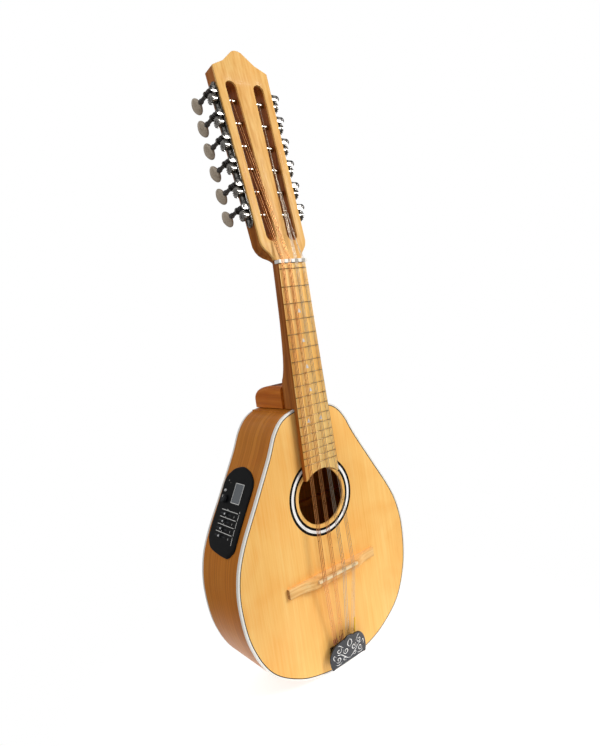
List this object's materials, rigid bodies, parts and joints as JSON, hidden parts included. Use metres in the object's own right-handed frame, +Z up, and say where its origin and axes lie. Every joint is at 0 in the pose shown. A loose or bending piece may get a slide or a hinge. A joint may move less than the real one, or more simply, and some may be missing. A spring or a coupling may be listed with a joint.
{
  "type": "twelve-string mandolin",
  "caption": "Flat-topped teardrop mandolin with triple courses, slotted head, open worm-and-gear tuners, sliding tailpiece cover and side-mounted preamp.",
  "frame": {"origin": "inside the neck, on its centre line and level with the zero fret, where a hanger yoke carries the instrument under its head", "axes": "+Z up the neck towards the head, +Y towards the back of the body, so the soundboard faces -Y, +X towards the treble side"},
  "size_m": [0.2536, 0.0954, 0.7207],
  "materials": {
    "pale_wood": "thin gloss lacquer over straight-grained pale top wood",
    "amber_wood": "gloss lacquer over amber-stained laminated wood",
    "neck_wood": "satin-gloss dark brown stain",
    "board_wood": "oiled open-grained light brown wood",
    "ivory_plastic": "polished ivory-white plastic",
    "rosette_inlay": "black and white ring inlay, levelled and lacquered",
    "nickel": "bright nickel plate",
    "dark_nickel": "dark smoked nickel plate",
    "bronze_wire": "bronze winding wire",
    "steel_wire": "plain steel music wire",
    "black_plastic": "moulded black plastic"
  },
  "bodies": {
    "instrument": {"soundboard": "pale_wood", "rosette": "rosette_inlay", "back_plate": "amber_wood", "top_binding": "ivory_plastic", "back_binding": "ivory_plastic", "sides": "amber_wood", "neck": "neck_wood", "head_veneer": "pale_wood", "fingerboard": "board_wood", "nut": "ivory_plastic", "bridge": "board_wood", "saddle": "ivory_plastic", "tailpiece_base": "nickel", "tuner_plate_bass": "nickel", "tuner_plate_treble": "nickel", "preamp_panel": "black_plastic", "output_jack": "nickel", "string_01": "bronze_wire", "string_02": "bronze_wire", "string_03": "bronze_wire", "string_04": "bronze_wire", "string_05": "bronze_wire", "string_06": "bronze_wire", "string_07": "steel_wire", "string_08": "steel_wire", "string_09": "steel_wire", "string_10": "steel_wire", "string_11": "steel_wire", "string_12": "steel_wire"},
    "tailpiece_cover": {"tailpiece_cover": "dark_nickel"},
    "worm_bass_1": {"worm_bass_1": "nickel"},
    "roller_bass_1": {"roller_bass_1": "nickel"},
    "worm_bass_2": {"worm_bass_2": "nickel"},
    "roller_bass_2": {"roller_bass_2": "nickel"},
    "worm_bass_3": {"worm_bass_3": "nickel"},
    "roller_bass_3": {"roller_bass_3": "nickel"},
    "worm_bass_4": {"worm_bass_4": "nickel"},
    "roller_bass_4": {"roller_bass_4": "nickel"},
    "worm_bass_5": {"worm_bass_5": "nickel"},
    "roller_bass_5": {"roller_bass_5": "nickel"},
    "worm_bass_6": {"worm_bass_6": "nickel"},
    "roller_bass_6": {"roller_bass_6": "nickel"},
    "worm_treble_1": {"worm_treble_1": "nickel"},
    "roller_treble_1": {"roller_treble_1": "nickel"},
    "worm_treble_2": {"worm_treble_2": "nickel"},
    "roller_treble_2": {"roller_treble_2": "nickel"},
    "worm_treble_3": {"worm_treble_3": "nickel"},
    "roller_treble_3": {"roller_treble_3": "nickel"},
    "worm_treble_4": {"worm_treble_4": "nickel"},
    "roller_treble_4": {"roller_treble_4": "nickel"},
    "worm_treble_5": {"worm_treble_5": "nickel"},
    "roller_treble_5": {"roller_treble_5": "nickel"},
    "worm_treble_6": {"worm_treble_6": "nickel"},
    "roller_treble_6": {"roller_treble_6": "nickel"},
    "eq_slider_1": {"eq_slider_1": "black_plastic"},
    "eq_slider_2": {"eq_slider_2": "black_plastic"},
    "eq_slider_3": {"eq_slider_3": "black_plastic"},
    "eq_slider_4": {"eq_slider_4": "black_plastic"},
    "volume_knob": {"volume_knob": "black_plastic"},
    "tune_button": {"tune_button": "black_plastic"}
  },
  "joints": [
    {"name": "worm_bass_1_turn", "type": "hinge", "parent": "instrument", "child": "worm_bass_1", "pos_m": [-0.04345, 0.02656, 0.20218], "axis": [0, 0.9863, -0.165], "continuous": true},
    {"name": "roller_bass_1_turn", "type": "hinge", "parent": "instrument", "child": "roller_bass_1", "pos_m": [-0.03545, 0.03333, 0.19293], "axis": [0.9997, 0.004, 0.0242], "continuous": true},
    {"name": "worm_bass_2_turn", "type": "hinge", "parent": "instrument", "child": "worm_bass_2", "pos_m": [-0.0428, 0.02219, 0.17605], "axis": [0, 0.9863, -0.165], "continuous": true},
    {"name": "roller_bass_2_turn", "type": "hinge", "parent": "instrument", "child": "roller_bass_2", "pos_m": [-0.0348, 0.02895, 0.1668], "axis": [0.9997, 0.004, 0.0242], "continuous": true},
    {"name": "worm_bass_3_turn", "type": "hinge", "parent": "instrument", "child": "worm_bass_3", "pos_m": [-0.04215, 0.01782, 0.14992], "axis": [0, 0.9863, -0.165], "continuous": true},
    {"name": "roller_bass_3_turn", "type": "hinge", "parent": "instrument", "child": "roller_bass_3", "pos_m": [-0.03415, 0.02458, 0.14067], "axis": [0.9997, 0.004, 0.0242], "continuous": true},
    {"name": "worm_bass_4_turn", "type": "hinge", "parent": "instrument", "child": "worm_bass_4", "pos_m": [-0.0415, 0.01344, 0.12379], "axis": [0, 0.9863, -0.165], "continuous": true},
    {"name": "roller_bass_4_turn", "type": "hinge", "parent": "instrument", "child": "roller_bass_4", "pos_m": [-0.0335, 0.02021, 0.11454], "axis": [0.9997, 0.004, 0.0242], "continuous": true},
    {"name": "worm_bass_5_turn", "type": "hinge", "parent": "instrument", "child": "worm_bass_5", "pos_m": [-0.04085, 0.00907, 0.09766], "axis": [0, 0.9863, -0.165], "continuous": true},
    {"name": "roller_bass_5_turn", "type": "hinge", "parent": "instrument", "child": "roller_bass_5", "pos_m": [-0.03286, 0.01584, 0.08841], "axis": [0.9997, 0.004, 0.0242], "continuous": true},
    {"name": "worm_bass_6_turn", "type": "hinge", "parent": "instrument", "child": "worm_bass_6", "pos_m": [-0.0402, 0.0047, 0.07154], "axis": [0, 0.9863, -0.165], "continuous": true},
    {"name": "roller_bass_6_turn", "type": "hinge", "parent": "instrument", "child": "roller_bass_6", "pos_m": [-0.03221, 0.01146, 0.06228], "axis": [0.9997, 0.004, 0.0242], "continuous": true},
    {"name": "worm_treble_1_turn", "type": "hinge", "parent": "instrument", "child": "worm_treble_1", "pos_m": [0.04345, 0.02656, 0.20218], "axis": [0, 0.9863, -0.165], "continuous": true},
    {"name": "roller_treble_1_turn", "type": "hinge", "parent": "instrument", "child": "roller_treble_1", "pos_m": [0.03545, 0.03333, 0.19293], "axis": [0.9997, -0.004, -0.0242], "continuous": true},
    {"name": "worm_treble_2_turn", "type": "hinge", "parent": "instrument", "child": "worm_treble_2", "pos_m": [0.0428, 0.02219, 0.17605], "axis": [0, 0.9863, -0.165], "continuous": true},
    {"name": "roller_treble_2_turn", "type": "hinge", "parent": "instrument", "child": "roller_treble_2", "pos_m": [0.0348, 0.02895, 0.1668], "axis": [0.9997, -0.004, -0.0242], "continuous": true},
    {"name": "worm_treble_3_turn", "type": "hinge", "parent": "instrument", "child": "worm_treble_3", "pos_m": [0.04215, 0.01782, 0.14992], "axis": [0, 0.9863, -0.165], "continuous": true},
    {"name": "roller_treble_3_turn", "type": "hinge", "parent": "instrument", "child": "roller_treble_3", "pos_m": [0.03415, 0.02458, 0.14067], "axis": [0.9997, -0.004, -0.0242], "continuous": true},
    {"name": "worm_treble_4_turn", "type": "hinge", "parent": "instrument", "child": "worm_treble_4", "pos_m": [0.0415, 0.01344, 0.12379], "axis": [0, 0.9863, -0.165], "continuous": true},
    {"name": "roller_treble_4_turn", "type": "hinge", "parent": "instrument", "child": "roller_treble_4", "pos_m": [0.0335, 0.02021, 0.11454], "axis": [0.9997, -0.004, -0.0242], "continuous": true},
    {"name": "worm_treble_5_turn", "type": "hinge", "parent": "instrument", "child": "worm_treble_5", "pos_m": [0.04085, 0.00907, 0.09766], "axis": [0, 0.9863, -0.165], "continuous": true},
    {"name": "roller_treble_5_turn", "type": "hinge", "parent": "instrument", "child": "roller_treble_5", "pos_m": [0.03286, 0.01584, 0.08841], "axis": [0.9997, -0.004, -0.0242], "continuous": true},
    {"name": "worm_treble_6_turn", "type": "hinge", "parent": "instrument", "child": "worm_treble_6", "pos_m": [0.0402, 0.0047, 0.07154], "axis": [0, 0.9863, -0.165], "continuous": true},
    {"name": "roller_treble_6_turn", "type": "hinge", "parent": "instrument", "child": "roller_treble_6", "pos_m": [0.03221, 0.01146, 0.06228], "axis": [0.9997, -0.004, -0.0242], "continuous": true},
    {"name": "cover_slide", "type": "slide", "parent": "instrument", "child": "tailpiece_cover", "axis": [0, 0, -1], "range_m": [0, 0.04]},
    {"name": "eq_slider_1_travel", "type": "slide", "parent": "instrument", "child": "eq_slider_1", "axis": [0, 1, 0], "range_m": [-0.008, 0.008]},
    {"name": "eq_slider_2_travel", "type": "slide", "parent": "instrument", "child": "eq_slider_2", "axis": [0, 1, 0], "range_m": [-0.008, 0.008]},
    {"name": "eq_slider_3_travel", "type": "slide", "parent": "instrument", "child": "eq_slider_3", "axis": [0, 1, 0], "range_m": [-0.008, 0.008]},
    {"name": "eq_slider_4_travel", "type": "slide", "parent": "instrument", "child": "eq_slider_4", "axis": [0, 1, 0], "range_m": [-0.008, 0.008]},
    {"name": "volume_turn", "type": "hinge", "parent": "instrument", "child": "volume_knob", "pos_m": [-0.09238, 0.05515, -0.24468], "axis": [-0.8704, 0, 0.4924], "range_deg": [-140, 140]},
    {"name": "tune_button_press", "type": "slide", "parent": "instrument", "child": "tune_button", "axis": [0.8704, 0, -0.4924], "range_m": [0, 0.0008], "stiffness_N_per_m": 400}
  ],
  "couplings": [
    {"joint": "roller_bass_1_turn", "follows": "worm_bass_1_turn", "ratio": 0.071429},
    {"joint": "roller_bass_2_turn", "follows": "worm_bass_2_turn", "ratio": 0.071429},
    {"joint": "roller_bass_3_turn", "follows": "worm_bass_3_turn", "ratio": 0.071429},
    {"joint": "roller_bass_4_turn", "follows": "worm_bass_4_turn", "ratio": 0.071429},
    {"joint": "roller_bass_5_turn", "follows": "worm_bass_5_turn", "ratio": 0.071429},
    {"joint": "roller_bass_6_turn", "follows": "worm_bass_6_turn", "ratio": 0.071429},
    {"joint": "roller_treble_1_turn", "follows": "worm_treble_1_turn", "ratio": 0.071429},
    {"joint": "roller_treble_2_turn", "follows": "worm_treble_2_turn", "ratio": 0.071429},
    {"joint": "roller_treble_3_turn", "follows": "worm_treble_3_turn", "ratio": 0.071429},
    {"joint": "roller_treble_4_turn", "follows": "worm_treble_4_turn", "ratio": 0.071429},
    {"joint": "roller_treble_5_turn", "follows": "worm_treble_5_turn", "ratio": 0.071429},
    {"joint": "roller_treble_6_turn", "follows": "worm_treble_6_turn", "ratio": 0.071429}
  ]
}
